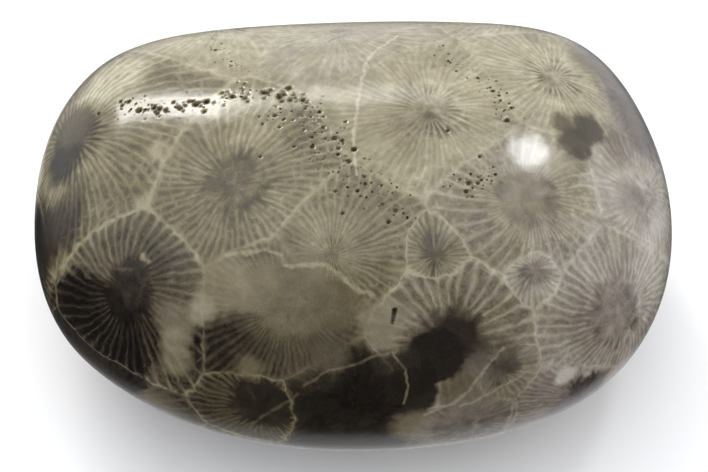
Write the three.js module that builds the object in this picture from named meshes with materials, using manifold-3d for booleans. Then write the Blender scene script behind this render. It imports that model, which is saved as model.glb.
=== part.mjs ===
// A polished pebble of fossil colonial coral: one natural stone, hand-sized, with a fuller
// back edge, a rounder front edge, and a small flat worn on its underside that it rests on.
// Millimetres, +Z up. The origin is on the resting flat, under the middle of the stone.
import * as THREE from 'three';
import { mergeVertices } from 'three/addons/utils/BufferGeometryUtils.js';
import Module from 'manifold-3d';

const wasm = await Module();
wasm.setup();

// Overall size of the finished stone.
const LENGTH = 66;
const DEPTH = 48;
const HEIGHT = 31;

// The underside is rubbed away by this much where the stone rests.
const REST_CUT = 0.35;

// Fullness of the stone across, front to back, and up and down: 2 is a plain ellipse, and
// more is squarer. The back edge is the fullest, so it runs nearly straight between two
// tight corners, and the front is a round bow.
const ACROSS_FULLNESS = 3;
const ACROSS_FULLNESS_BACK = 0.9;
const DEPTH_FULLNESS = 2.1;
const DEPTH_FULLNESS_RIGHT = 0.05;
const CROWN_FULLNESS = 2.2;
const BELLY_FULLNESS = 2.3;

// The back is this much longer than the middle, as a share, and the front as much shorter.
const TAPER = 0.06;

// The back edge leans this much to the left for each millimetre that it is away.
const SIDE_LEAN = 0.06;

// The rim, where the stone is widest, is a little below half of its height.
const RIM_SHARE = 0.46;

// Hand polishing leaves the surface very slightly uneven, as broad shallow facets.
const FACET_DEPTH = 0.006;

// Each edge of the starting icosahedron is cut into this many parts plus one.
const SURFACE_DETAIL = 13;

// Halvings of the search for the surface along a direction.
const SEARCH_STEPS = 40;

// How far out a point is, as a sum that is 1 on the surface, less inside and more outside.
function outwardness(point, direction) {
  const across = ACROSS_FULLNESS + ACROSS_FULLNESS_BACK * direction.y;
  const depth = DEPTH_FULLNESS + DEPTH_FULLNESS_RIGHT * direction.x;
  const above = direction.z > 0;
  const upright = above ? CROWN_FULLNESS : BELLY_FULLNESS;
  const rise = HEIGHT * (above ? 1 - RIM_SHARE : RIM_SHARE);
  return Math.abs(point.x / (LENGTH / 2)) ** across
    + Math.abs(point.y / (DEPTH / 2)) ** depth
    + Math.abs(point.z / rise) ** upright;
}

// Distance from the middle of the stone to its surface along a unit direction.
function surfaceRadius(direction) {
  const point = new THREE.Vector3();
  let inside = 0;
  let outside = LENGTH;
  for (let step = 0; step < SEARCH_STEPS; step += 1) {
    const radius = (inside + outside) / 2;
    point.copy(direction).multiplyScalar(radius);
    if (outwardness(point, direction) > 1) {
      outside = radius;
    } else {
      inside = radius;
    }
  }
  return inside;
}

// Broad shallow facets, as a slow wave over the directions.
function polishedFacets(direction) {
  const wave = Math.sin(5.1 * direction.x + 2.3 * direction.y)
    + Math.sin(4.3 * direction.y - 3.7 * direction.z + 1.2)
    + Math.sin(3.9 * direction.z + 4.7 * direction.x - 0.6);
  return 1 + FACET_DEPTH * wave / 3;
}

// The taper towards the front, and the lean of the back edge.
function taperAndLean(point) {
  point.x *= 1 + TAPER * point.y / (DEPTH / 2);
  point.x -= SIDE_LEAN * point.y;
}

// The whole rounded stone, before its resting flat is worn on it.
function pebbleGeometry() {
  const geometry = new THREE.IcosahedronGeometry(1, SURFACE_DETAIL);
  geometry.deleteAttribute('normal');
  geometry.deleteAttribute('uv');
  const merged = mergeVertices(geometry, 1e-5);
  const place = merged.getAttribute('position');
  const direction = new THREE.Vector3();
  for (let i = 0; i < place.count; i += 1) {
    direction.fromBufferAttribute(place, i).normalize();
    const radius = surfaceRadius(direction) * polishedFacets(direction);
    direction.multiplyScalar(radius);
    taperAndLean(direction);
    place.setXYZ(i, direction.x, direction.y, direction.z);
  }
  return merged;
}

// A closed geometry as a solid that can be cut.
function toSolid(geometry) {
  const mesh = new wasm.Mesh({
    numProp: 3,
    vertProperties: new Float32Array(geometry.getAttribute('position').array),
    triVerts: new Uint32Array(geometry.index.array),
  });
  return new wasm.Manifold(mesh);
}

// A cut solid back as a geometry.
function toGeometry(solid) {
  const mesh = solid.getMesh();
  const geometry = new THREE.BufferGeometry();
  geometry.setAttribute('position', new THREE.BufferAttribute(mesh.vertProperties, 3));
  geometry.setIndex(new THREE.BufferAttribute(mesh.triVerts, 1));
  return geometry;
}

// The block that lies under the stone and takes its lowest cap away, up to the given level.
function restingCutter(level) {
  const reach = 2 * LENGTH;
  const geometry = new THREE.BoxGeometry(reach, reach, reach);
  geometry.translate(0, 0, level - reach / 2);
  geometry.deleteAttribute('normal');
  geometry.deleteAttribute('uv');
  return mergeVertices(geometry, 1e-5);
}

// The finished stone, sized to its driving dimensions and stood on its flat.
function coralStoneGeometry() {
  const pebble = pebbleGeometry();
  pebble.computeBoundingBox();
  const raw = pebble.boundingBox.getSize(new THREE.Vector3());
  pebble.scale(LENGTH / raw.x, DEPTH / raw.y, (HEIGHT + REST_CUT) / raw.z);
  pebble.computeBoundingBox();
  const middle = pebble.boundingBox.getCenter(new THREE.Vector3());
  pebble.translate(-middle.x, -middle.y, -pebble.boundingBox.min.z - REST_CUT);
  const stone = toSolid(pebble).subtract(toSolid(restingCutter(0)));
  return toGeometry(stone);
}

const polishedCoral = new THREE.MeshStandardMaterial({
  color: 0x8f8574,
  roughness: 0.18,
  metalness: 0,
});

const coralStone = new THREE.Mesh(coralStoneGeometry(), polishedCoral);
coralStone.name = 'coral_stone';

const stone = new THREE.Group();
stone.add(coralStone);

export default stone;
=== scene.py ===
# %% [markdown]
# # A polished stone of fossil colonial coral
#
# The real thing is a beach pebble, ground and polished until it feels like soap. It is one
# piece of rock, so it is one mesh here. Everything that makes it a fossil, the starbursts,
# the zigzag walls and the dark patches, lies flush in the polished face, so it belongs to the
# material. Only the tiny pits and one small slot are hollows, and those are in the mesh.
#
# The measured model comes in first. It gives the stone's size, and the surface that the
# polished skin is laid on.

# %% Load the measured stone
import math
import random

import bmesh
import bpy
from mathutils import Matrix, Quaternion, Vector, kdtree


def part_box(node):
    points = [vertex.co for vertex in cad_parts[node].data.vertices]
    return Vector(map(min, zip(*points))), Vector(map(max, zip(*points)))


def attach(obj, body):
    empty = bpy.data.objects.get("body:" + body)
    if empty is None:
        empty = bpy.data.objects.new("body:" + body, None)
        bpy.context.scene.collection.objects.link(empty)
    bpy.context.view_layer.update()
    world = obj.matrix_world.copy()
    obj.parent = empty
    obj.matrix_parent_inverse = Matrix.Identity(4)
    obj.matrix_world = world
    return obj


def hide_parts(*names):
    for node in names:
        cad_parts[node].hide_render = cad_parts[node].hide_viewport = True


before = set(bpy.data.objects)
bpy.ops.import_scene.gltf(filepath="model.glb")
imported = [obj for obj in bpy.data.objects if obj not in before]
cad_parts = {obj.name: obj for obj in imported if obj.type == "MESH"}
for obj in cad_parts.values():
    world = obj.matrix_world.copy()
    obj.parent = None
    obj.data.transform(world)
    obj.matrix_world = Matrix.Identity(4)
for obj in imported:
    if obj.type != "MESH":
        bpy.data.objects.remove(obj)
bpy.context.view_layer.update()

MM = 0.001
low, high = (Vector(corner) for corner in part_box("coral_stone"))
size = high - low
# The stone is widest a little below half of its height. Directions are told from here.
heart = Vector(((low.x + high.x) / 2, (low.y + high.y) / 2, low.z + 0.46 * size.z))
print("stone, mm:", [round(side / MM, 1) for side in size])

# %% [markdown]
# ## The rounded body
#
# A rounded stone could start as a UV sphere, but that has two poles where the faces bunch up
# and a gloss shows every one of them. A cube cut into a grid and pushed out to a sphere has
# even, four-sided faces all round and no pole. It is stretched to the stone's size and then
# laid on the measured surface with Shrinkwrap. The grid is kept coarse on purpose: it is a
# cage, and Subdivision Surface rounds it later into a skin with no facets.
#
# The cube's twelve edges are marked as seams before anything else. They give the skin six
# nearly square map pieces, which is what a painter would want on a pebble.

# %% Model the cage
CAGE_CUTS = 10

bpy.ops.object.select_all(action="DESELECT")
bpy.ops.mesh.primitive_cube_add(size=2, location=heart)
stone = bpy.context.object
stone.name = "coral_stone_polished"
stone.data.name = "coral_stone_polished"

bpy.ops.object.mode_set(mode="EDIT")
bpy.ops.mesh.mark_seam(clear=False)
bpy.ops.mesh.subdivide(number_cuts=CAGE_CUTS)
bpy.ops.transform.tosphere(value=1)
bpy.ops.object.mode_set(mode="OBJECT")

stone.dimensions = size
bpy.ops.object.transform_apply(location=True, rotation=True, scale=True)


def apply_modifier(piece, name, kind, **settings):
    """Adds one modifier to a piece, sets it up and applies it."""
    modifier = piece.modifiers.new(name, kind)
    for key, value in settings.items():
        setattr(modifier, key, value)
    bpy.context.view_layer.objects.active = piece
    bpy.ops.object.modifier_apply(modifier=modifier.name)


apply_modifier(
    stone, "lay on the stone", "SHRINKWRAP", target=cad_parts["coral_stone"],
    wrap_method="NEAREST_SURFACEPOINT",
)
print("cage faces:", len(stone.data.polygons))

# %% [markdown]
# ## Finding a place on the stone
#
# Every mark is told the way a place on a globe is: degrees round from the right-hand end,
# towards the back, and degrees up from the level of the rim. A ray from the middle of the
# stone finds where that direction comes out, so a mark always lies on the surface.

# %% Places on the surface


def on_stone(around, up):
    """The point of the surface that lies in this direction from the middle, in metres."""
    turn, rise = math.radians(around), math.radians(up)
    way = Vector((math.cos(turn) * math.cos(rise), math.sin(turn) * math.cos(rise), math.sin(rise)))
    found, place, _, _ = stone.ray_cast(heart, way)
    if not found:
        raise ValueError("no surface in that direction")
    return place


def in_mm(place):
    """A point in millimetres, which the material works in."""
    return tuple(round(side / MM, 2) for side in place)


# %% [markdown]
# ## Three full corners
#
# A beach pebble is never an even oval. Three of its corners are a little fuller, so the cage
# is pulled out there by up to a millimetre or so. In edit mode this is one vertex dragged
# with proportional editing. The sum below is a soft pull of the same kind, done in code.

# %% Pull the corners out
# around, up, pull in mm, the way it is pulled, how far the pull is felt in mm
FULL_CORNERS = [(-167, -4, 1.0, -140, 14), (35, 18, 1.2, 60, 13), (148, 20, 0.5, 130, 13)]
for around, up, pull, toward, felt in FULL_CORNERS:
    corner = on_stone(around, up)
    turn = math.radians(toward)
    for vertex in stone.data.vertices:
        share = min(1, (vertex.co - corner).length / (felt * MM))
        reach = pull * MM * (1 - share * share) ** 2
        vertex.co += Vector((math.cos(turn), math.sin(turn), 0)) * reach
print("corners pulled out:", len(FULL_CORNERS))

# %% [markdown]
# ## The smooth skin
#
# The map is unwrapped on the cage, where it has few faces, and Subdivision Surface carries it
# along. Rounding always draws a shape in a little, here by a fifth of a millimetre at each
# end, so the skin is stretched back to full size at the end.

# %% Unwrap the cage and round it
SKIN_LEVELS = 3

bpy.ops.object.mode_set(mode="EDIT")
bpy.ops.mesh.select_all(action="SELECT")
stone.data.uv_layers[0].name = "OFBake"
bpy.ops.uv.unwrap(method="CONFORMAL", margin=0.004)
bpy.ops.uv.pack_islands(margin=0.006)
bpy.ops.object.mode_set(mode="OBJECT")

apply_modifier(
    stone, "polished skin", "SUBSURF", levels=SKIN_LEVELS, render_levels=SKIN_LEVELS,
)
stone.dimensions = size
bpy.ops.object.transform_apply(location=False, rotation=False, scale=True)
bpy.ops.object.shade_smooth()
print("skin faces:", len(stone.data.polygons))

# %% [markdown]
# ## The corallites
#
# Each starburst is one corallite, the stone cup that a single polyp lived in. A colony is
# many of them grown against each other until no room is left between, so their walls meet
# as in a honeycomb. That is a Voronoi pattern: every point of the rock belongs to the nearest
# cup. Blender's Voronoi texture scatters its cells at random, and here each cup has a place
# and a size of its own, so they are listed and compared one after the other.
#
# For each cup, the list holds a name and four groups of numbers:
#
# - where its middle is, by how many mm it wins over its neighbours, and how round it is
#   (1 is a plain honeycomb cell, and a cup with more is walled by an arc);
# - how far out from the middle its smooth part goes in mm, and how pale the middle and the
#   rim are (0 is black, 1 is chalk);
# - how clearly its septa stand out, how many there are, and how grey its rock is
#   (0 is tan, 1 is mauve-grey);
# - how far from the wall bars run in mm, how strong its wall is, and by how many mm the
#   short septa stop sooner than the long ones. A number below 0 turns that round: the short
#   septa are then a fringe of that many mm about the smooth middle.

# %% List the corallites
CORALLITES = [
    # the crown and the front
    ("left_shoulder", (169, 20, 3.8, 0.88), (1.8, 0.22, 0.42), (0.85, 56, 0.0), (2.4, 0.7, 2.2)),
    ("left_end", (179, 3, 0.2, 1.1), (2.6, 0.10, 0.28), (0.90, 48, 0.1), (1.0, 0.7, 0.3)),
    ("dark_left", (-152, 19, 3.5, 1.25), (3.2, 0.13, 0.30), (1.00, 42, 0.4), (0.4, 0.8, 0.2)),
    ("big_left", (-162, 52, 1.4, 1), (3.0, 0.31, 0.39), (0.80, 54, 0.1), (2.6, 0.6, 1.0)),
    ("back_left_top", (123, 19, 1.6, 1), (1.8, 0.58, 0.63), (0.30, 60, 0.1), (0.8, 0.1, 2.0)),
    ("back_top", (93, 37, -0.1, 1), (1.0, 0.54, 0.58), (0.30, 50, 0.5), (1.0, 0.1, 1.2)),
    ("crown", (29, 62, 0.5, 1), (1.6, 0.40, 0.54), (0.45, 64, 0.1), (1.6, 0.15, 2.4)),
    ("back_right_top", (25, 31, -0.6, 1), (1.2, 0.48, 0.60), (0.50, 52, 0.2), (1.6, 0.25, 1.8)),
    ("right_star", (-21, 39, 0.3, 1), (2.9, 0.37, 0.46), (0.80, 64, 0.5), (2.0, 0.5, -1.8)),
    ("small_star", (-59, 45, -1.5, 1.8), (0.9, 0.22, 0.36), (0.90, 32, 0.3), (0.0, 0.8, 0.4)),
    ("small_long", (-37, 30, -2.1, 1.7), (0.7, 0.34, 0.50), (0.80, 28, 0.7), (0.0, 0.9, 0.2)),
    ("black_front", (-67, 25, 1.0, 1), (3.6, 0.20, 0.44), (1.00, 34, 0.5), (0.4, 0.9, 0.2)),
    ("right_front", (-28, 11, 1.5, 1), (3.4, 0.43, 0.51), (0.80, 52, 0.8), (1.2, 0.6, 0.8)),
    ("right_shoulder", (20, 12, -0.5, 1), (4.2, 0.30, 0.40), (0.30, 60, 1.2), (0.6, 0.1, 0.8)),
    ("right_end", (-5, 17, -1.0, 1), (2.0, 0.46, 0.58), (0.50, 46, 0.9), (0.6, 0.4, 0.4)),
    ("middle_fan", (-102, 50, 0.2, 1), (0.4, 0.37, 0.41), (0.80, 46, 0.0), (1.8, 0.2, 1.2)),
    ("brown_sheet", (-114, 35, 1.2, 1), (2.0, 0.36, 0.26), (0.70, 64, 0.3), (0.3, 0.4, 0.8)),
    ("front_lens", (-114, 7, -1.6, 1.2), (3.0, 0.12, 0.20), (0.60, 46, 0.0), (0.3, 0.8, 0.4)),
    ("black_belly", (-92, 10, 0.8, 1), (6.0, 0.03, 0.05), (0.20, 44, 0.2), (0.0, 0.3, 0.6)),
    ("dark_lens", (-57, 15, -1.4, 1.6), (1.2, 0.26, 0.36), (0.40, 30, 0.6), (0.0, 0.2, 0.4)),
    ("front_oval", (-67, 0, -1.2, 1.2), (2.6, 0.28, 0.34), (0.25, 40, 0.7), (0.0, 0.2, 0.6)),
    ("right_belly", (-41, -4, 0.0, 1), (3.4, 0.26, 0.38), (0.60, 70, 0.9), (0.4, 0.5, 0.4)),
    # the left end, under the rim
    ("left_low", (-150, -12, 0.5, 1), (3.0, 0.10, 0.28), (0.60, 52, 0.6), (1.0, 0.2, 0.6)),
    ("left_under", (172, -22, 0.5, 1), (2.0, 0.26, 0.42), (0.80, 48, 0.1), (1.4, 0.6, 1.2)),
    # the back
    ("back_left_low", (143, -2, 0.5, 1), (2.2, 0.36, 0.50), (0.80, 80, 0.1), (1.6, 0.6, 2.4)),
    ("back_mid_left", (113, -4, 0.0, 1), (2.0, 0.30, 0.46), (0.80, 52, 0.2), (1.2, 0.8, 1.0)),
    ("back_middle", (84, 4, 1.6, 1.2), (2.6, 0.20, 0.42), (0.95, 54, 0.2), (1.4, 0.9, 0.6)),
    ("back_mid_right", (55, 10, 0.0, 1), (1.8, 0.40, 0.54), (0.70, 76, 0.2), (1.0, 0.5, 1.8)),
    ("back_right_low", (33, -8, 0.4, 1), (2.2, 0.34, 0.48), (0.80, 48, 0.5), (1.2, 0.7, 1.0)),
    ("right_low", (3, -14, 0.0, 1), (2.0, 0.34, 0.46), (0.80, 46, 0.6), (1.2, 0.7, 0.8)),
    # the underside
    ("under_back_left", (118, -35, 0.8, 1), (2.6, 0.24, 0.44), (0.85, 54, 0.2), (1.6, 0.8, 1.6)),
    ("under_back", (74, -32, -0.6, 1.3), (1.4, 0.30, 0.48), (0.85, 44, 0.2), (0.6, 0.8, 0.4)),
    ("under_back_right", (30, -38, 0.6, 1), (2.4, 0.28, 0.48), (0.85, 84, 0.4), (1.4, 0.6, 2.4)),
    ("under_middle_left", (-175, -58, 1, 1), (2.8, 0.18, 0.42), (0.95, 56, 0.2), (0.6, 1.0, 0.4)),
    ("under_middle", (60, -84, 0.6, 1), (2.2, 0.32, 0.48), (0.85, 52, 0.3), (1.6, 0.7, 1.4)),
    ("under_middle_right", (-20, -52, 1, 1), (2.6, 0.26, 0.46), (0.85, 90, 0.4), (1.2, 0.7, 2.6)),
    ("under_front_left", (-126, -30, 0.4, 1), (3.0, 0.10, 0.30), (0.75, 50, 0.1), (0.6, 0.8, 0.6)),
    ("under_front", (-90, -42, 0.6, 1), (3.4, 0.08, 0.28), (0.75, 52, 0.1), (0.8, 0.9, 0.8)),
    ("under_front_right", (-58, -34, 0.2, 1), (2.6, 0.20, 0.38), (0.80, 50, 0.3), (1.2, 0.8, 1)),
    ("under_right", (-14, -28, 0.0, 1), (2.0, 0.36, 0.50), (0.80, 46, 0.6), (1.2, 0.6, 0.8)),
]
print("corallites:", len(CORALLITES))

# %% [markdown]
# ## Pits
#
# Where the calcite is loose, the wheel plucks grains out and leaves pits, in drifts over the
# crown. Bump alone would leave them flat where the light grazes them, so they are real
# hollows. A Boolean with small spheres would cut them too, but it leaves sharp lips and
# untidy faces on a polished skin. So the skin is first made finer around each pit with
# Subdivide, then every pit gets a bowl-shaped weight, and one Displace modifier pushes all of
# them in along the surface. The same weight is kept as an attribute, so that the material
# knows where the bowls are.

# %% Choose the pits
PIT_SEED = 11
picker = random.Random(PIT_SEED)
# each drift: half width mm, how many pits, the line of directions it follows
DRIFTS = [
    (0.9, 46, [(162, 28), (162, 34), (161, 39), (156, 45), (147, 50)]),
    (1.0, 34, [(147, 50), (142, 55), (136, 61), (126, 66)]),
    (1.5, 40, [(133, 66), (140, 74), (-160, 84), (-103, 80)]),
    (1.2, 14, [(150, 60), (175, 74), (-150, 78)]),
    (1.8, 16, [(-153, 80), (-110, 78), (-82, 71), (-59, 62)]),
    (0.8, 20, [(58, 38), (47, 44), (32, 45), (23, 44), (11, 44)]),
    (0.7, 12, [(-26, 57), (-25, 51), (-16, 49)]),
    (0.8, 5, [(130, 28), (134, 37), (137, 44)]),
]
PIT_RADII = (0.09, 0.10, 0.12, 0.14, 0.18, 0.25)
LONE_PITS = [(163, 24), (-173, 60), (-110, 70), (-100, 63), (8, 60), (-8, 52)]


def along(line, share):
    """The place at a share from 0 to 1 along a chain of directions."""
    step = min(int(share * (len(line) - 1)), len(line) - 2)
    part = share * (len(line) - 1) - step
    return on_stone(*line[step]).lerp(on_stone(*line[step + 1]), part)


def scattered(place, spread):
    """A point near a place, back on the surface."""
    aside = Vector([picker.gauss(0, spread) * MM for _ in range(3)])
    way = (place + aside - heart).normalized()
    return stone.ray_cast(heart, way)[1]


pits = []
for half_width, count, line in DRIFTS:
    for _ in range(count):
        place = along(line, picker.random())
        radius = picker.choice(PIT_RADII)
        pits.append((scattered(place, half_width * 0.6), radius * picker.uniform(0.85, 1.2)))
LONE_RADIUS = 0.2
for around, up in LONE_PITS:
    pits.append((on_stone(around, up), LONE_RADIUS))
# the deep slot in front is a row of overlapping bowls
SLOT_BOWLS = 7
for step in range(SLOT_BOWLS):
    pits.append((on_stone(-78.8 - 0.25 * step, 35 - 0.5 * step), 0.28 - 0.015 * step))
print("pits:", len(pits))

# %% Cut the skin finer around the pits


def refine_around(places, reach_mm, times):
    """Cuts the skin's faces finer wherever one of these places is within reach."""
    tree = kdtree.KDTree(len(places))
    for number, place in enumerate(places):
        tree.insert(place, number)
    tree.balance()
    bpy.ops.object.mode_set(mode="EDIT")
    bpy.ops.mesh.select_mode(type="FACE")
    for _ in range(times):
        bpy.ops.mesh.select_all(action="DESELECT")
        mesh = bmesh.from_edit_mesh(stone.data)
        for face in mesh.faces:
            _, _, gap = tree.find(face.calc_center_median())
            reach = reach_mm * MM + math.sqrt(face.calc_area()) / 2
            face.select_set(gap < reach)
        bmesh.update_edit_mesh(stone.data)
        bpy.ops.mesh.subdivide(number_cuts=1, smoothness=0)
    bpy.ops.object.mode_set(mode="OBJECT")


FINER_REACH = 0.5
FINER_TIMES = 2
refine_around([place for place, _ in pits], FINER_REACH, FINER_TIMES)
print("faces after cutting finer:", len(stone.data.polygons))

# %% Push the bowls in
DEEPEST = 0.36
FULL_DEPTH_RADIUS = 0.3
BOWL_SPREAD = 1.3
depth_of_bowl = [0.0] * len(stone.data.vertices)
vertex_tree = kdtree.KDTree(len(stone.data.vertices))
for vertex in stone.data.vertices:
    vertex_tree.insert(vertex.co, vertex.index)
vertex_tree.balance()
for place, radius in pits:
    brim = radius * MM * BOWL_SPREAD
    for _, index, gap in vertex_tree.find_range(place, brim):
        share = gap / brim
        bowl = (1 - share * share) ** 2 * min(1, radius / FULL_DEPTH_RADIUS)
        depth_of_bowl[index] = max(depth_of_bowl[index], bowl)

pit_group = stone.vertex_groups.new(name="pits")
for index, bowl in enumerate(depth_of_bowl):
    if bowl > 0:
        pit_group.add([index], bowl, "REPLACE")
pit_mark = stone.data.attributes.new("pit", "FLOAT", "POINT")
pit_mark.data.foreach_set("value", depth_of_bowl)
apply_modifier(
    stone, "pluck pits", "DISPLACE", direction="NORMAL", mid_level=0,
    strength=-DEEPEST * MM, vertex_group="pits",
)
print("vertices in pits:", sum(bowl > 0 for bowl in depth_of_bowl))

# %% [markdown]
# ## Short calls for shader nodes
#
# The rock's pattern is arithmetic on the place in the stone, done by a few dozen kinds of
# node. Adding each by hand takes five lines, so this small helper adds one and joins it up
# in a single call. An input can be another node's output, a number or three numbers.

# %% A helper for node trees
VALUE_OUTPUT = ("DISTANCE", "LENGTH", "DOT_PRODUCT")


class NodeSheet:
    """One node tree, with a short call for each kind of node that the rock needs."""

    def __init__(self, tree):
        self.tree = tree

    def put(self, socket, value):
        if isinstance(value, bpy.types.NodeSocket):
            self.tree.links.new(value, socket)
        elif value is not None:
            socket.default_value = value

    def node(self, kind, values=(), **settings):
        node = self.tree.nodes.new(kind)
        for key, value in settings.items():
            setattr(node, key, value)
        for slot, value in enumerate(values):
            self.put(node.inputs[slot], value)
        return node

    def math(self, operation, *values):
        return self.node("ShaderNodeMath", values, operation=operation).outputs[0]

    def times(self, first, second):
        return self.math("MULTIPLY", first, second)

    def times_add(self, first, second, more):
        return self.math("MULTIPLY_ADD", first, second, more)

    def minus(self, first, second):
        return self.math("SUBTRACT", first, second)

    def vector(self, operation, *values):
        node = self.node("ShaderNodeVectorMath", values, operation=operation)
        return node.outputs[1 if operation in VALUE_OUTPUT else 0]

    def scaled(self, vector, factor):
        node = self.node("ShaderNodeVectorMath", operation="SCALE")
        self.put(node.inputs["Vector"], vector)
        self.put(node.inputs["Scale"], factor)
        return node.outputs[0]

    def moved(self, place, offset, amount):
        """A place moved along an offset, by this much of it."""
        return self.vector("ADD", place, self.scaled(offset, amount))

    def step(self, value, start, end, first=0.0, last=1.0):
        """A soft step from first to last while the value goes from start to end."""
        values = (value, start, end, first, last)
        node = self.node("ShaderNodeMapRange", values, interpolation_type="SMOOTHSTEP")
        return node.outputs[0]

    def mix(self, share, first, last, kind="FLOAT"):
        """From first to last by a share. The Mix node has its own sockets for each kind."""
        node = self.node("ShaderNodeMix", data_type=kind)
        number = ("FLOAT", "VECTOR", "RGBA").index(kind)
        for slot, value in zip((0, 2 + 2 * number, 3 + 2 * number), (share, first, last)):
            self.put(node.inputs[slot], value)
        return node.outputs[number]

    def noise(self, place, scale, detail=2.0, rough=0.5, distort=0.0):
        """Cloudy noise at a place: its grey value and its colour."""
        node = self.node("ShaderNodeTexNoise")
        names = ("Vector", "Scale", "Detail", "Roughness", "Distortion")
        for name, value in zip(names, (place, scale, detail, rough, distort)):
            self.put(node.inputs[name], value)
        return node.outputs[0], node.outputs[1]

    def dice(self, place):
        """The same random number from 0 to 1 each time for the same place."""
        node = self.node("ShaderNodeTexWhiteNoise", noise_dimensions="3D")
        self.put(node.inputs["Vector"], place)
        return node.outputs[0]

    def join(self, x, y, z):
        return self.node("ShaderNodeCombineXYZ", (x, y, z)).outputs[0]

    def split(self, vector):
        return self.node("ShaderNodeSeparateXYZ", (vector,)).outputs

    def call(self, group, *values):
        """Puts a node group in and returns its outputs."""
        node = self.node("ShaderNodeGroup", node_tree=group)
        for socket, value in zip(node.inputs, values):
            self.put(socket, value)
        return node.outputs


def new_group(name, inputs, outputs):
    """An empty node group. Each socket's name ends with F for a number or V for a vector."""
    kinds = {"F": "NodeSocketFloat", "V": "NodeSocketVector"}
    tree = bpy.data.node_groups.new(name, "ShaderNodeTree")
    for side, sockets in (("INPUT", inputs), ("OUTPUT", outputs)):
        for socket in sockets.split(", "):
            label, kind = socket[:-2], kinds[socket[-1]]
            tree.interface.new_socket(label, in_out=side, socket_type=kind)
    sheet = NodeSheet(tree)
    return sheet, sheet.node("NodeGroupInput").outputs, sheet.node("NodeGroupOutput").inputs


# %% [markdown]
# ## Which cup does a point belong to?
#
# This group is used once for each corallite. It takes the nearest cup found so far and the
# next one, and passes on whichever is nearer: this cup or that. After the last one, half the
# difference between the nearest and the next distance is how far the point is from a wall.
#
# Tones picked that way alone would jump at every wall. Real rock is stained through, so the
# group also adds up the tones of all cups, each with a weight that fades with its distance.
# Divided by the sum of the weights, they melt into each other about a millimetre either side.

# %% Group: keep the nearer corallite
MELT = 0.9
nearer, given, result = new_group(
    "keep the nearer corallite",
    "place V, least F, next F, weight F, tones V, looks V, middle V, nature V, habit V, form V, "
    "this middle V, this reach F, this roundness F, this nature V, this habit V, this form V",
    "least F, next F, weight F, tones V, looks V, middle V, nature V, habit V, form V",
)
gap = nearer.vector("DISTANCE", given["place"], given["this middle"])
gap = nearer.times(gap, given["this roundness"])
gap = nearer.minus(gap, given["this reach"])
is_nearer = nearer.math("LESS_THAN", gap, given["least"])
nearer.put(result["least"], nearer.math("MINIMUM", gap, given["least"]))
nearer.put(
    result["next"],
    nearer.math("MINIMUM", given["next"], nearer.math("MAXIMUM", gap, given["least"])),
)
weight = nearer.math("EXPONENT", nearer.times(gap, -MELT))
nearer.put(result["weight"], nearer.math("ADD", given["weight"], weight))
for label, own in (("tones", "this nature"), ("looks", "this habit")):
    total = nearer.vector("ADD", given[label], nearer.scaled(given[own], weight))
    nearer.put(result[label], total)
for label in ("middle", "nature", "habit", "form"):
    kept = nearer.mix(is_nearer, given[label], given["this " + label], "VECTOR")
    nearer.put(result[label], kept)

# %% [markdown]
# ## Septa, bars and walls inside one cup
#
# A polyp's cup is divided by upright plates, the septa, which run in from the wall like the
# spokes of a wheel and stop at different distances from the middle: a long one, a short one,
# a long one. Small bars join neighbours near the wall. Cut and polished, plates, bars and
# wall are pale, and the cells between them are darker and have round corners.
#
# The group works out how far a point is from the nearest plate, bar and wall. A smooth
# minimum of the three is the distance from the edge of its cell, with the corners rounded.

# %% Group: the skeleton inside one corallite
TURN = 2 * math.pi
SWIRL = 0.06
UNEVEN_SPACING = 0.9
CORE_SWELL = 3.6
ENDS_APART = 0.8
PLATE_TAPER = 0.12
BAR_PITCH = 1.0
BAR_WAVE = 1.6
BARS_PRESENT = 0.6
CELL_ROUNDING = 0.16
WALL_ROUNDING = 0.45
skeleton, given, result = new_group(
    "skeleton of a corallite",
    "place V, middle V, wall gap F, core F, septa F, form V, uneven V, swell F",
    "cell F, core F, fibre place V, plate luck F",
)
s = skeleton
bulge = tuple((MM / side) ** 2 * 4 for side in size)
from_heart = s.vector("SUBTRACT", given["middle"], in_mm(heart))
outward = s.vector("NORMALIZE", s.vector("MULTIPLY", from_heart, bulge))
sideways = s.vector("NORMALIZE", s.vector("CROSS_PRODUCT", outward, (0.57, -0.74, 0.35)))
lengthways = s.vector("CROSS_PRODUCT", outward, sideways)
offset = s.vector("SUBTRACT", given["place"], given["middle"])
radius = s.vector("LENGTH", offset)
along_side = s.vector("DOT_PRODUCT", offset, sideways)
along_length = s.vector("DOT_PRODUCT", offset, lengthways)
angle = s.math("ARCTAN2", along_length, along_side)
own_number = s.vector("DOT_PRODUCT", given["middle"], (1.0, 1.3, 1.7))
bar_zone, wall_strength, short_by = s.split(given["form"])
uneven_a, uneven_b, uneven_c = s.split(given["uneven"])

# how many plates have been passed on the way round, a little uneven, with a slow swirl
swirl = s.times(s.minus(s.dice(given["middle"]), 0.5), SWIRL)
turned = s.times_add(radius, swirl, angle)
count = s.times(s.times_add(turned, 1 / TURN, 1.5), given["septa"])
count = s.times_add(s.minus(uneven_a, 0.5), UNEVEN_SPACING, count)
nearest = s.math("ROUND", count)
plate = s.math("FLOORED_MODULO", nearest, given["septa"])
space = s.math("FLOORED_MODULO", s.math("FLOOR", count), given["septa"])
pitch = s.math("DIVIDE", s.times(radius, TURN), given["septa"])
from_plate = s.times(s.math("ABSOLUTE", s.minus(count, nearest)), pitch)

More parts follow.
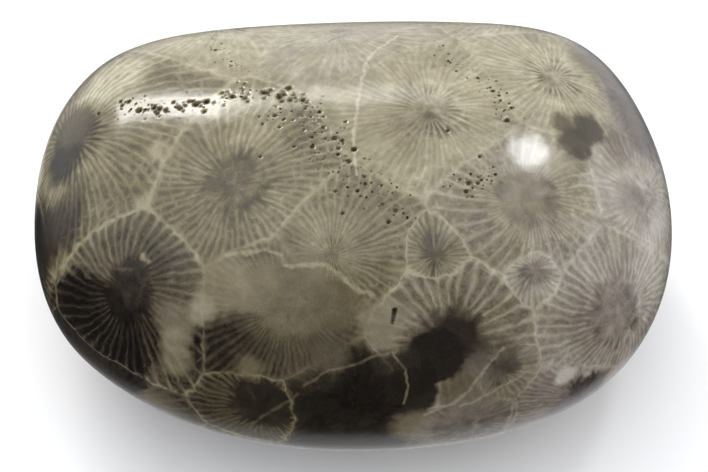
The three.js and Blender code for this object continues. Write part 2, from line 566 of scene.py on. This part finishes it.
# every second plate is short, and each one ends where it likes, round an uneven middle
is_short = s.math("MODULO", plate, 2.0)
own_length = s.dice(s.join(plate, 0.5, own_number))
swell = s.minus(given["swell"], 0.5)
core_edge = s.times_add(swell, CORE_SWELL, given["core"])
plate_end = s.times_add(is_short, s.math("MAXIMUM", short_by, 0.0), core_edge)
plate_end = s.times_add(own_length, ENDS_APART, plate_end)
fade = s.step(radius, s.minus(plate_end, 1.1), s.math("ADD", plate_end, 0.2), 1.0, 0.0)
fringe_end = s.minus(plate_end, short_by)
past_fringe = s.step(s.minus(radius, fringe_end), -0.3, 0.3)
past_fringe = s.times(past_fringe, s.math("LESS_THAN", short_by, 0.0))
fade = s.math("MAXIMUM", fade, s.times(past_fringe, is_short))

# a plate is thick where it grows out of the wall and thins towards the middle
taper = s.step(given["wall gap"], 0.3, 2.6, wall_strength, 0.0)
thin = s.times_add(uneven_b, 0.14, -0.02)
thin = s.times_add(taper, PLATE_TAPER, thin)
thin = s.math("MINIMUM", thin, s.times(pitch, 0.24))
to_plate = s.minus(s.times_add(fade, 0.4, from_plate), thin)

# bars between neighbours, only as far from the wall as this cup's bar zone
level = s.math("DIVIDE", radius, BAR_PITCH)
level = s.math("ADD", level, s.dice(s.join(space, 3.5, own_number)))
level = s.times_add(uneven_c, BAR_WAVE, level)
bar = s.math("ROUND", level)
from_bar = s.times(s.math("ABSOLUTE", s.minus(level, bar)), BAR_PITCH)
missing = s.math("GREATER_THAN", s.dice(s.join(space, bar, own_number)), BARS_PRESENT)
no_bar = s.step(given["wall gap"], bar_zone, s.math("ADD", bar_zone, 0.8))
no_bar = s.math("MAXIMUM", missing, no_bar)
to_bar = s.minus(s.times_add(no_bar, 0.6, from_bar), 0.02)
wall_half = s.times(s.minus(uneven_c, 0.3), 0.6)
to_wall = s.minus(given["wall gap"], wall_half)
cell = s.math("SMOOTH_MIN", to_plate, to_bar, CELL_ROUNDING)
cell = s.math("SMOOTH_MIN", cell, to_wall, WALL_ROUNDING)

core = s.step(radius, s.minus(plate_end, 1.6), s.math("ADD", plate_end, 0.5), 1.0, 0.0)
# fibres run outwards: a place that changes fast on the way round and slowly on the way out
fibre_place = s.scaled(s.vector("NORMALIZE", offset), 13.0)
fibre_place = s.moved(fibre_place, given["place"], 0.35)
s.put(result["cell"], cell)
s.put(result["core"], core)
s.put(result["fibre place"], fibre_place)
s.put(result["plate luck"], own_length)

# %% [markdown]
# ## The rock's colours
#
# The tone is one number, from black to chalk, and two colour ramps turn it into rock: one
# tan with a touch of green, one mauve-grey. Real fossil coral drifts between the two, so the
# material mixes them by a second number. Ramps are easier to correct than sums of colours:
# each stop is a swatch.

# %% Colour swatches


def swatch(red, green, blue):
    """A screen colour, 0 to 255, as the light it stands for."""
    def light(level):
        level /= 255
        return level / 12.92 if level <= 0.04045 else ((level + 0.055) / 1.055) ** 2.4
    return (light(red), light(green), light(blue), 1.0)


TAN_RAMP = (
    (0.00, (14, 11, 8)), (0.12, (40, 34, 24)), (0.30, (83, 75, 55)),
    (0.45, (115, 107, 83)), (0.60, (142, 135, 111)), (0.80, (176, 171, 148)),
    (1.00, (206, 203, 184)),
)
GREY_RAMP = (
    (0.00, (14, 12, 11)), (0.12, (42, 36, 33)), (0.30, (85, 77, 71)),
    (0.45, (119, 110, 103)), (0.60, (147, 140, 132)), (0.80, (180, 175, 168)),
    (1.00, (206, 202, 194)),
)


def ramp(sheet, tone, stops):
    """A colour ramp node with these stops."""
    node = sheet.node("ShaderNodeValToRGB", (tone,))
    while len(node.color_ramp.elements) < len(stops):
        node.color_ramp.elements.new(0.5)
    for element, (place, color) in zip(node.color_ramp.elements, stops):
        element.position = place
        element.color = swatch(*color)
    return node.outputs[0]


# %% [markdown]
# ## Stains and veils
#
# Some dark and pale patches ignore the cups. A stain has soaked into the rock, so it changes
# the tone of the cells and leaves the pale septa standing. A veil is a skin of clear calcite
# or clay that lies over everything and hides most of the septa. Both are balls in the rock
# with a frayed edge: where the ball meets the surface, the tone is drawn towards its own.
# One pale stain on the left shoulder is partly a painted highlight at the edge of the streak.

# %% List the stains and veils
# around, up, radius mm, softness mm, tone, strength
STAINS = [
    # the dark left end and the dark half of the left cup
    (-177, 6, 3.9, 1.6, 0.03, 0.90),
    (-174, 16, 2.8, 1.2, 0.14, 0.85),
    (-172, -3, 3.6, 1.4, 0.08, 0.80),
    (-154, 4, 7.3, 0.6, 0.05, 0.88),
    (-152, 26, 2.6, 1.4, 0.14, 0.65),
    (-144, 14, 3.0, 1.5, 0.06, 0.60),
    (-130, -4, 4.0, 2.0, 0.16, 0.60),
    # the left shoulder
    (166, 19, 3.4, 1.4, 0.14, 0.82),
    (172, 17, 2.7, 0.9, 0.09, 0.88),
    (-178, 20, 2.0, 1.2, 0.22, 0.60),
    # partly the rock's own pale greenish patch, partly a painted highlight that widens the streak
    # of light on the crown
    (153, 23, 3.8, 1.8, 0.75, 0.80),
    # the crown
    (160, 55, 4.2, 2.0, 0.54, 0.70),
    (31, 66, 3.0, 2.4, 0.36, 0.50),
    (31, 52, 3.2, 1.6, 0.66, 0.65),
    (0, 72, 2.5, 1.5, 0.42, 0.50),
    (-15, 52, 2.0, 1.2, 0.56, 0.60),
    (-11, 28, 2.2, 1.4, 0.62, 0.60),
    (-18, 28, 2.0, 1.2, 0.62, 0.60),
    (-27, 22, 1.8, 1.2, 0.62, 0.60),
    (-2, 40, 2.4, 1.4, 0.56, 0.60),
    (72, 54, 2.6, 1.6, 0.60, 0.60),
    (-123, 61, 2.8, 1.8, 0.46, 0.60),
    (-88, 46, 3.4, 2.0, 0.34, 0.60),
    # the front
    (-127, 19, 3.6, 1.6, 0.10, 0.80),
    (-117, 21, 3.2, 1.6, 0.16, 0.60),
    (-104, 25, 3.6, 1.8, 0.24, 0.70),
    (-113, 9, 2.8, 1.0, 0.09, 0.80),
    (-93, -2, 3.0, 1.5, 0.09, 0.70),
    # the right
    (-40.5, 1, 1.7, 0.5, 0.16, 0.85),
    (-17, 8, 3.8, 2.4, 0.74, 0.65),
    (-8, 10, 3.4, 2.4, 0.68, 0.60),
    (5, 23, 2.2, 1.2, 0.34, 0.60),
    (-35, 14, 2.6, 1.5, 0.34, 0.60),
    (28, 17, 3.2, 2.0, 0.26, 0.78),
    (42, 22, 2.5, 1.6, 0.40, 0.60),
    # the back and the underside
    (90, -4, 4.0, 1.6, 0.10, 0.70),
    (150, -14, 3.6, 2.0, 0.16, 0.60),
    (-170, -50, 4.0, 1.6, 0.06, 0.75),
    (20, -55, 3.4, 1.4, 0.14, 0.65),
    (50, -20, 3.0, 1.6, 0.62, 0.60),
]
VEILS = [
    # the black patch in front: a chain of balls makes its long shape, soft on the right
    (-62, 20, 2.7, 1.60, 0.19, 0.80),
    (-62, 16, 1.4, 1.00, 0.38, 0.60),
    (-53, 19, 1.2, 0.70, 0.20, 0.60),
    (-67, 12, 2.0, 1.00, 0.27, 0.80),
    (-64, 25, 2.2, 0.60, 0.10, 0.88),
    (-70, 22, 2.8, 0.35, 0.05, 0.94),
    (-77, 17.5, 2.3, 0.35, 0.04, 0.94),
    (-76, 12.5, 1.9, 0.45, 0.05, 0.92),
    (-80, 22, 1.0, 0.40, 0.14, 0.75),
    # the clay sheet
    (-113, 37, 4.1, 0.5, 0.37, 0.80),
    (-98, 37, 2.7, 0.4, 0.32, 0.80),
    (-99, 24, 1.7, 0.8, 0.26, 0.85),
    (-126, 36, 2.8, 0.6, 0.41, 0.75),
    (-134, 33, 3.0, 1.2, 0.50, 0.70),
    (-139, 21, 2.2, 0.7, 0.41, 0.80),
    (-135, 13, 1.8, 0.9, 0.46, 0.70),
    (-135, 26, 1.4, 0.7, 0.56, 0.75),
    (-137, 17, 1.6, 0.8, 0.50, 0.70),
    (-119, 18, 1.3, 0.8, 0.40, 0.70),
    (-84, 32, 2.0, 0.8, 0.45, 0.80),
    (-79, 34, 1.6, 0.8, 0.46, 0.75),
    (-84, 28, 1.2, 0.5, 0.42, 0.75),
    (-84, 22, 1.2, 0.5, 0.12, 0.80),
    (-77, 23, 1.2, 0.5, 0.10, 0.85),
    # mauve clouds low in front
    (-64, 7, 2.4, 1.0, 0.34, 0.70),
    (-69, 3, 1.6, 0.9, 0.36, 0.60),
    (-78, 2, 2.4, 1.2, 0.42, 0.80),
    (-54, 15, 1.0, 0.5, 0.16, 0.70),
    # white patches
    (-44, 6.5, 1.1, 0.5, 0.72, 0.80),
    (-39.5, 3.5, 0.6, 0.4, 0.74, 0.75),
    (-31, -5, 2.0, 1.0, 0.66, 0.60),
    (-168, 32, 0.9, 0.7, 0.64, 0.70),
    (177, 37, 1.0, 0.8, 0.62, 0.70),
    (-155.6, 27, 0.34, 0.25, 0.58, 0.80),
    (-154.4, 27.2, 0.30, 0.25, 0.56, 0.80),
    # the brown patch beside the right-hand star
    (3, 32, 1.9, 0.5, 0.17, 0.90),
    (8, 29, 1.8, 0.6, 0.17, 0.88),
    (9, 34, 1.1, 0.5, 0.24, 0.80),
    # soft light and dark on the crown and the ends
    (10, 16, 2.8, 1.6, 0.26, 0.80),
    (18, 18, 2.6, 1.8, 0.28, 0.72),
    (30, 19, 3.0, 1.6, 0.34, 0.70),
    (-154, -3, 3.2, 1.5, 0.13, 0.70),
    (-138, -5, 2.6, 1.5, 0.36, 0.60),
    (-178, 3, 3.2, 1.4, 0.05, 0.80),
    (-174, 9, 2.2, 1.0, 0.08, 0.75),
    (-175, 14, 2.2, 1.2, 0.15, 0.65),
    (-7, 20, 1.7, 1.2, 0.42, 0.70),
    (-2, 21, 1.2, 0.8, 0.64, 0.60),
    (-4, 36, 1.8, 1.2, 0.60, 0.55),
    (170, 7, 1.6, 1.0, 0.80, 0.60),
    (165, 19, 2.4, 0.9, 0.26, 0.70),
    (170, 16, 0.8, 0.4, 0.08, 0.85),
    (-20, 40, 2.6, 0.8, 0.44, 0.60),
    (-29, 12, 2.8, 1.2, 0.44, 0.55),
    (84, 30, 3.0, 1.4, 0.56, 0.60),
    (60, -50, 3.2, 1.0, 0.48, 0.65),
    (130, -18, 2.6, 0.9, 0.50, 0.65),
]

# %% [markdown]
# ## Veins and edges
#
# A healed crack is a thread of white calcite. It is drawn as a chain of short straight lines
# between places on the stone, and the slow noise that bends the walls bends it as well, but
# only sideways: a thread that was bent down into the rock would break up into dashes. The
# drifts where the pits gather are told to the material by chains of the same kind.

# %% List the veins
# each vein: half width mm, tone, strength, chain of directions
VEINS = [
    (0.09, 0.46, 0.70, [(-81.5, 25), (-78.5, 20), (-78, 15), (-79.5, 10)]),
    (0.16, 0.62, 0.60, [(-138, 39), (-133, 43), (-129, 45.5), (-123, 46), (-119.5, 44.5)]),
    (0.16, 0.64, 0.60, [
        (-119.5, 44.5), (-112.5, 46), (-105, 47), (-96.5, 44), (-90, 40), (-85, 39),
    ]),
    (0.12, 0.80, 0.60, [(72, 38), (77, 47), (83, 55.5), (83.5, 73), (95, 87), (-89, 77)]),
    (0.14, 0.40, 0.40, [(-167, 9), (-166, 13), (-163.5, 17), (-161, 19.5), (-158, 21), (-155, 23)]),
    (0.14, 0.36, 0.50, [(-116, 0.5), (-112, 6.5), (-108, 10), (-106, 12.5)]),
    (0.10, 0.42, 0.60, [(-105, 15.5), (-99, 20.5), (-90, 23), (-82.5, 25)]),
    (0.12, 0.04, 0.90, [(9.2, 13.6), (7.5, 13.2), (5.6, 12.9)]),
    (0.14, 0.54, 0.60, [(-54, 19.5), (-60.5, 16), (-67, 10), (-75, 6)]),
    (0.12, 0.52, 0.60, [(-48, 12.5), (-55.5, 10.5), (-61.5, 9), (-67, 8)]),
    (0.12, 0.52, 0.60, [(-55.5, 4.5), (-56.5, -0.5), (-57, -7.5)]),
    (0.14, 0.80, 0.55, [(-14, 20), (-13, 13.5), (-11, 5.5)]),
]

# %% Group: keep the nearer line
line_group, given, result = new_group(
    "keep the nearer line",
    "place V, least F, start V, run V, one over length squared F",
    "least F",
)
leg = line_group.vector("SUBTRACT", given["place"], given["start"])
share = line_group.vector("DOT_PRODUCT", leg, given["run"])
share = line_group.times(share, given["one over length squared"])
share = line_group.math("MAXIMUM", line_group.math("MINIMUM", share, 1.0), 0.0)
aside = line_group.vector("SUBTRACT", leg, line_group.scaled(given["run"], share))
aside = line_group.vector("LENGTH", aside)
line_group.put(result["least"], line_group.math("MINIMUM", given["least"], aside))


def chain_distance(sheet, place, chain):
    """How far a place is, in mm, from a chain of lines between directions."""
    least = 99.0
    spots = [Vector(in_mm(on_stone(*spot))) for spot in chain]
    for start, end in zip(spots, spots[1:]):
        run = end - start
        values = (tuple(start), tuple(run), 1 / run.length_squared)
        least = sheet.call(line_group.tree, place, least, *values)[0]
    return least


# %% [markdown]
# ## The polished rock
#
# Now it all comes together. The place in the rock is bent a little by slow noise first, so
# that no wall is straight. Then come the nearest cup and its skeleton. The alternative, a
# painted picture wrapped round the stone, would stretch at the ends and blur close up.

# %% Material: places, bent by noise
polish = bpy.data.materials.new("polished_coral")
polish.use_nodes = True
polish.node_tree.nodes.clear()
rock = NodeSheet(polish.node_tree)
HALF = (0.5, 0.5, 0.5)
WALL_BEND, WALL_RIPPLE, SEPTA_RIPPLE = 1.1, 0.7, 0.30

place = rock.scaled(rock.node("ShaderNodeTexCoord").outputs["Object"], 1 / MM)
bend = rock.vector("SUBTRACT", rock.noise(place, 0.13, 1.0)[1], HALF)
ripple = rock.vector("SUBTRACT", rock.noise(place, 0.8, 1.0)[1], HALF)
swept = rock.moved(place, bend, WALL_BEND)
bent = rock.moved(swept, ripple, WALL_RIPPLE)
swept = rock.moved(swept, ripple, SEPTA_RIPPLE)

# %% Material: the nearest corallite
FAR = 999.0
NONE = (0, 0, 0)
found = (FAR, FAR, 0.0, NONE, NONE, NONE, NONE, NONE, NONE)
for _, (around, up, reach, round_by), this_nature, this_habit, this_form in CORALLITES:
    found = rock.call(
        nearer.tree, bent, *found,
        in_mm(on_stone(around, up)), reach, round_by, this_nature, this_habit, this_form,
    )
least, second, weight, tones, looks, middle, nature, habit, form = found
wall_gap = rock.times(rock.minus(second, least), 0.5)
core_size, _, _ = rock.split(nature)
_, septa_count, _ = rock.split(habit)
share_of_all = rock.math("DIVIDE", 1.0, weight)
_, core_tone, rim_tone = rock.split(rock.scaled(tones, share_of_all))
contrast, _, greyness = rock.split(rock.scaled(looks, share_of_all))
uneven = rock.noise(place, 0.5, 2.0)[1]
swell = rock.noise(place, 0.26, 2.0)[0]
cell, core, fibre_place, plate_luck = rock.call(
    skeleton.tree, swept, middle, wall_gap, core_size, septa_count, form, uneven, swell,
)

# %% [markdown]
# ## The tone of the rock
#
# The tone is built up in the order in which the rock was made. The fill of the cells comes
# first, then stains that soaked into it, clouds and fibres in the calcite, and the pale septa
# and walls. Veils lie over all of that, and veins cut through everything. Each is one mix.

# %% Material: tone
STAIN_RIPPLE, STAIN_FRAY = 2.0, 1.0
VEIL_RIPPLE, VEIL_FRAY = 1.3, 0.5
cloud, cloud_color = rock.noise(place, 0.20, 4.0, 0.6)
mottle, mottle_color = rock.noise(place, 1.1, 4.0, 0.65)
grain = rock.noise(place, 5.0, 2.0, 0.6)[0]
fibre = rock.noise(fibre_place, 1.0, 2.0, 0.5)[0]


def swing(sheet, tone, noise, amount):
    """Lets a noise push the tone up and down by this amount."""
    return sheet.times_add(sheet.minus(noise, 0.5), amount, tone)


def spread(sheet, place, tone, patches):
    """Draws the tone towards each patch's own tone, inside its ball."""
    for around, up, radius_mm, soft, patch_tone, strength in patches:
        gap = sheet.vector("DISTANCE", place, in_mm(on_stone(around, up)))
        share = sheet.step(gap, radius_mm - soft, radius_mm + soft, strength, 0.0)
        tone = sheet.mix(share, tone, patch_tone)
    return tone


fray = rock.vector("SUBTRACT", mottle_color, HALF)
stain_place = rock.moved(rock.moved(place, ripple, STAIN_RIPPLE), fray, STAIN_FRAY)
fill = rock.mix(core, rim_tone, core_tone)
fill = spread(rock, stain_place, fill, STAINS)
cloud_depth = rock.times_add(fill, 0.30, 0.08)
calcite = rock.noise(place, 0.6, 4.0, 0.6, 0.4)[0]
fill = swing(rock, fill, calcite, rock.times(core, rock.times(fill, 1.6)))
fill = swing(rock, fill, cloud, cloud_depth)
fill = swing(rock, fill, mottle, rock.times(cloud_depth, 1.2))
fill = swing(rock, fill, fibre, rock.times(cloud_depth, 0.9))
# a cell is darkest in its middle, and finely mottled
hollow = rock.step(cell, 0.0, 0.34)
hollow = rock.times(hollow, rock.times_add(core, -0.8, 1.0))
flecks = rock.noise(place, 2.2, 3.0, 0.6)[0]
fleck_depth = rock.step(flecks, 0.40, 0.62, -0.04, -0.15)
fleck_depth = rock.times(rock.times(contrast, hollow), fleck_depth)
tone = rock.math("ADD", fill, fleck_depth)

# septa and bars, each plate with its own strength, and faint where the rock is cloudy
_, wall_strength, _ = rock.split(form)
near_wall = rock.step(wall_gap, 0.2, 1.1, wall_strength, 0.0)
pale = rock.step(cell, -0.10, 0.14, 1.0, 0.0)
plate_strength = rock.times(contrast, rock.times_add(plate_luck, 0.45, 0.55))
clearness = rock.step(rock.split(cloud_color)[2], 0.38, 0.58, 0.35, 1.0)
plate_strength = rock.times(plate_strength, clearness)
plate_strength = rock.math("MAXIMUM", plate_strength, near_wall)
plate_tone = rock.times_add(fill, 1.08, 0.09)
wall_tone = rock.times_add(fill, 0.80, 0.24)
plate_tone = rock.mix(near_wall, plate_tone, wall_tone)
tone = rock.mix(rock.times(pale, plate_strength), tone, plate_tone)
# the line of the wall itself, worn through in places
wall_width = rock.times_add(rock.split(uneven)[2], 0.30, -0.06)
on_wall = rock.minus(wall_gap, wall_width)
on_wall = rock.step(on_wall, -0.20, 0.30, 0.8, 0.0)
worn = rock.times(wall_strength, rock.step(mottle, 0.3, 0.6))
on_wall = rock.times(on_wall, worn)
tone = rock.mix(on_wall, tone, rock.times_add(tone, 0.62, 0.32))

veil_place = rock.moved(rock.moved(place, ripple, VEIL_RIPPLE), fray, VEIL_FRAY)
tone = spread(rock, veil_place, tone, VEILS)
tone = swing(rock, tone, calcite, rock.times_add(tone, 0.36, 0.04))

from_middle = rock.vector("SUBTRACT", place, in_mm(heart))
outward = rock.vector("NORMALIZE", rock.vector("MULTIPLY", from_middle, bulge))
lift = rock.vector("DOT_PRODUCT", rock.vector("SUBTRACT", bent, place), outward)
vein_place = rock.vector("SUBTRACT", bent, rock.scaled(outward, lift))
for half_width, vein_tone, strength, chain in VEINS:
    gap = chain_distance(rock, vein_place, chain)
    share = rock.step(gap, half_width * 0.4, half_width * 2.4, strength, 0.0)
    share = rock.times(share, rock.step(mottle, 0.36, 0.52, 0.45, 1.0))
    tone = rock.mix(share, tone, vein_tone)
tone = swing(rock, tone, grain, 0.12)

# %% [markdown]
# ## Specks and pits
#
# The smallest pits are too fine to model. They are dots of a Voronoi texture, kept only in
# the drifts, and fewer towards the edge of a drift. In the modelled pits the bowl's weight
# darkens the rock, because dust and shade gather at the bottom.

# %% Material: specks and pits
SPECKS_PER_MM = 2.1
speck_cells = rock.node("ShaderNodeTexVoronoi", feature="F1")
rock.put(speck_cells.inputs["Vector"], rock.moved(place, ripple, 0.5))
speck_cells.inputs["Scale"].default_value = SPECKS_PER_MM
speck_luck, speck_size, speck_shade = rock.split(speck_cells.outputs["Color"])
in_drift = None
for half_width, _, chain in DRIFTS:
    gap = rock.math("DIVIDE", chain_distance(rock, place, chain), half_width + 0.4)
    in_drift = gap if in_drift is None else rock.math("MINIMUM", in_drift, gap)
in_drift = swing(rock, in_drift, rock.split(mottle_color)[0], 1.6)
drift_share = rock.step(in_drift, 0.3, 1.5, 0.95, 0.0)
lucky = rock.math("LESS_THAN", speck_luck, drift_share)
speck_edge = rock.times_add(speck_size, 0.30, 0.06)
speck_gap = rock.minus(speck_cells.outputs["Distance"], speck_edge)
speck = rock.times(rock.step(speck_gap, -0.06, 0.06, 1.0, 0.0), lucky)
tone = rock.mix(rock.times(speck, 0.90), tone, rock.times(speck_shade, 0.35))

pit = rock.node("ShaderNodeAttribute", attribute_name="pit").outputs["Fac"]
pit_dark = rock.step(pit, 0.0, 0.40)
pit_tone = rock.times_add(flecks, 0.7, -0.12)
pit_tone = rock.times_add(rock.step(pit, 0.5, 1.0), -0.14, pit_tone)
tone = rock.mix(pit_dark, tone, pit_tone)

# %% [markdown]
# ## Colour and gloss
#
# The tone now becomes a colour through the two ramps. Gloss is high and nearly even, as on
# anything buffed by hand, and it breaks only in faint scuffs and in the pits, which hold no
# shine. A very low bump of slow waves makes the mirrored lights a little uneven.

# %% Material: colour, gloss and output
MATT = 0.75
hue = swing(rock, greyness, rock.split(cloud_color)[1], 1.0)
hue = swing(rock, hue, rock.split(mottle_color)[2], 0.8)
hue = rock.times_add(core, 0.12, hue)
hue = rock.step(hue, 0.0, 1.2)
color = rock.mix(hue, ramp(rock, tone, TAN_RAMP), ramp(rock, tone, GREY_RAMP), "RGBA")

scuff = rock.noise(place, 0.9, 5.0, 0.7)[0]
gloss = rock.times_add(scuff, 0.10, 0.10)
matt = rock.math("MAXIMUM", rock.step(pit, 0.0, 0.10), speck)
gloss = rock.mix(matt, gloss, MATT)

relief = rock.times(rock.noise(place, 0.35, 2.0)[0], 0.6)
relief = rock.times_add(grain, 0.012, relief)
bump = rock.node("ShaderNodeBump")
bump.inputs["Strength"].default_value = 0.25
bump.inputs["Distance"].default_value = 0.2 * MM
rock.put(bump.inputs["Height"], relief)

shader = rock.node("ShaderNodeBsdfPrincipled")
rock.put(shader.inputs["Base Color"], color)
rock.put(shader.inputs["Roughness"], gloss)
rock.put(shader.inputs["Normal"], bump.outputs[0])
rock.put(shader.inputs["Specular IOR Level"], rock.mix(matt, 0.5, 0.1))
shader.inputs["IOR"].default_value = 1.5
output = rock.node("ShaderNodeOutputMaterial")
rock.put(output.inputs["Surface"], shader.outputs[0])
print("rock nodes:", len(polish.node_tree.nodes))

stone.data.materials.clear()
stone.data.materials.append(polish)
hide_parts("coral_stone")
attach(stone, "root")

# %% [markdown]
# ## Floor
#
# The stone lies on a plain white sweep. It is a shallow bowl that rises far away on every
# side, so that the background stays pale from any angle. The bowl is a disc whose outer ring
# is extruded up and out.
#
# White paper is also what a gloss mirrors best, and it would wash out the black patches round
# the stone's foot. A studio hides it with black card close to the stone. Here the paper is
# simply left out of mirrored rays, and the room below says what the low sides mirror.

# %% Model the floor
FLOOR_RADIUS = 0.9
bpy.ops.object.select_all(action="DESELECT")
bpy.ops.mesh.primitive_circle_add(
    vertices=96, radius=FLOOR_RADIUS, fill_type="NGON", location=(0, 0, low.z),
)
floor = bpy.context.object
floor.name = "floor_sweep"
bpy.ops.object.mode_set(mode="EDIT")
bpy.ops.mesh.select_mode(type="EDGE")
bpy.ops.mesh.select_all(action="SELECT")
bpy.ops.mesh.region_to_loop()
for rise, grow in ((0.01, 1.10), (0.03, 1.08), (0.06, 1.06), (0.10, 1.04)):
    bpy.ops.mesh.extrude_edges_move(TRANSFORM_OT_translate={"value": (0, 0, rise)})
    bpy.ops.transform.resize(value=(grow, grow, 1))
bpy.ops.object.mode_set(mode="OBJECT")
bpy.ops.object.transform_apply(location=True, rotation=True, scale=True)
bpy.ops.object.shade_smooth()
paper = bpy.data.materials.new("white_paper")
paper.use_nodes = True
paper_shader = paper.node_tree.nodes["Principled BSDF"]
paper_shader.inputs["Base Color"].default_value = (0.90, 0.90, 0.91, 1)
paper_shader.inputs["Roughness"].default_value = 0.8
paper_shader.inputs["Specular IOR Level"].default_value = 0.1
floor.data.materials.append(paper)
floor.visible_glossy = False

# %% [markdown]
# ## Studio light
#
# Two things are wanted that pull against each other: even light, so that every cup can be
# read, and a gloss with black patches that stay black. So the room has two brightnesses. What
# falls on paper and stone is the same from all sides. What the polish mirrors is dim towards
# the viewer, bright behind, and pale under the rim, where real paper would show.
#
# A big soft box overhead adds a soft shadow. The streak along the crown comes from two window
# lights behind, a long thin one and a shorter, brighter one that leans to the left. A round
# lamp draws the small white spot on the right.

# %% Lights


def way(azimuth, elevation):
    """The unit direction towards a place in the studio: 0 is in front, 90 to the right."""
    turn, rise = math.radians(azimuth), math.radians(elevation)
    across = math.cos(rise)
    return Vector((math.sin(turn) * across, -math.cos(turn) * across, math.sin(rise)))


def area_light(name, direction, distance, shape, width, depth, glow, color=(1, 1, 1), roll=0):
    """A soft box that faces the stone. Its glow is per square metre and its roll in degrees."""
    lamp = bpy.data.lights.new(name, "AREA")
    lamp.shape = shape
    lamp.size = width
    lamp.size_y = depth
    area = width * depth * (math.pi / 4 if shape in ("DISK", "ELLIPSE") else 1)
    lamp.energy = glow * math.pi * area
    lamp.color = color
    holder = bpy.data.objects.new(name, lamp)
    bpy.context.collection.objects.link(holder)
    holder.location = heart + direction * distance
    rolled = Quaternion((0, 0, 1), math.radians(roll))
    holder.rotation_euler = (direction.to_track_quat("Z", "Y") @ rolled).to_euler()


WARM_WHITE = (1, 0.99, 0.94)
area_light("soft_box", way(195, 76), 1.2, "RECTANGLE", 1.2, 1.0, 0.35)
area_light("long_window", way(190, 38.5), 0.9, "RECTANGLE", 0.42, 0.12, 6.2, WARM_WHITE)
area_light("short_window", way(207, 32), 0.9, "RECTANGLE", 0.46, 0.16, 13.5, WARM_WHITE, -38)
area_light("round_lamp", way(139, 49), 0.8, "DISK", 0.135, 0.135, 20.0, (0.96, 0.98, 1.0))

# %% [markdown]
# ## The room
#
# The world's colour is told by direction. Across is to the right, away is to the back and
# above is up. An open direction is bright when mirrored. The pale paper is seen by the rim
# in two places: underfoot at the front, and behind where the sides turn away.

# %% World
EVEN_LIGHT = 1.13
world = bpy.data.worlds.new("studio")
world.use_nodes = True
room = NodeSheet(world.node_tree)
across, away, above = room.split(room.node("ShaderNodeTexCoord").outputs["Generated"])
openness = room.times_add(away, 0.8, room.times(above, 0.6))
to_right = room.times(room.math("MAXIMUM", across, 0.0), 0.5)
to_left = room.times(room.math("MINIMUM", across, 0.0), -0.3)
openness = room.math("ADD", openness, room.math("ADD", to_right, to_left))
overhead = room.step(openness, 0.15, 0.75, 0.05, 1.05)
underfoot = room.step(above, -0.95, -0.80, 0.7, 0.0)
underfoot = room.times(underfoot, room.step(across, -0.5, 0.1, 0.3, 1.0))
behind = room.step(above, -0.78, -0.62, 0.9, 0.0)
behind = room.times(behind, room.step(away, 0.53, 0.64))
behind = room.times(behind, room.step(across, 0.0, 0.3, 1.0, 0.5))
underfoot = room.math("MAXIMUM", underfoot, behind)
background = world.node_tree.nodes["Background"]
background.inputs[0].default_value = (0.97, 0.98, 1.0, 1)
mirrored = room.math("MAXIMUM", overhead, underfoot)
is_gloss = room.node("ShaderNodeLightPath").outputs["Is Glossy Ray"]
room.put(background.inputs[1], room.mix(is_gloss, EVEN_LIGHT, mirrored))
bpy.context.scene.world = world
bpy.context.scene.view_settings.view_transform = "Standard"

# %% [markdown]
# ## Camera
#
# A long lens from a good way off, as for a catalogue: the stone keeps its true outline. It
# looks down steeply, so the crown and the front are seen together.

# %% Camera
LENS = 200.0
CAMERA_DISTANCE = 0.4073
camera_data = bpy.data.cameras.new("camera")
camera_data.lens = LENS
camera = bpy.data.objects.new("camera", camera_data)
bpy.context.collection.objects.link(camera)
toward_camera = way(-2, 56)
camera.location = heart + toward_camera * CAMERA_DISTANCE
camera.rotation_euler = toward_camera.to_track_quat("Z", "Y").to_euler()
bpy.context.scene.camera = camera
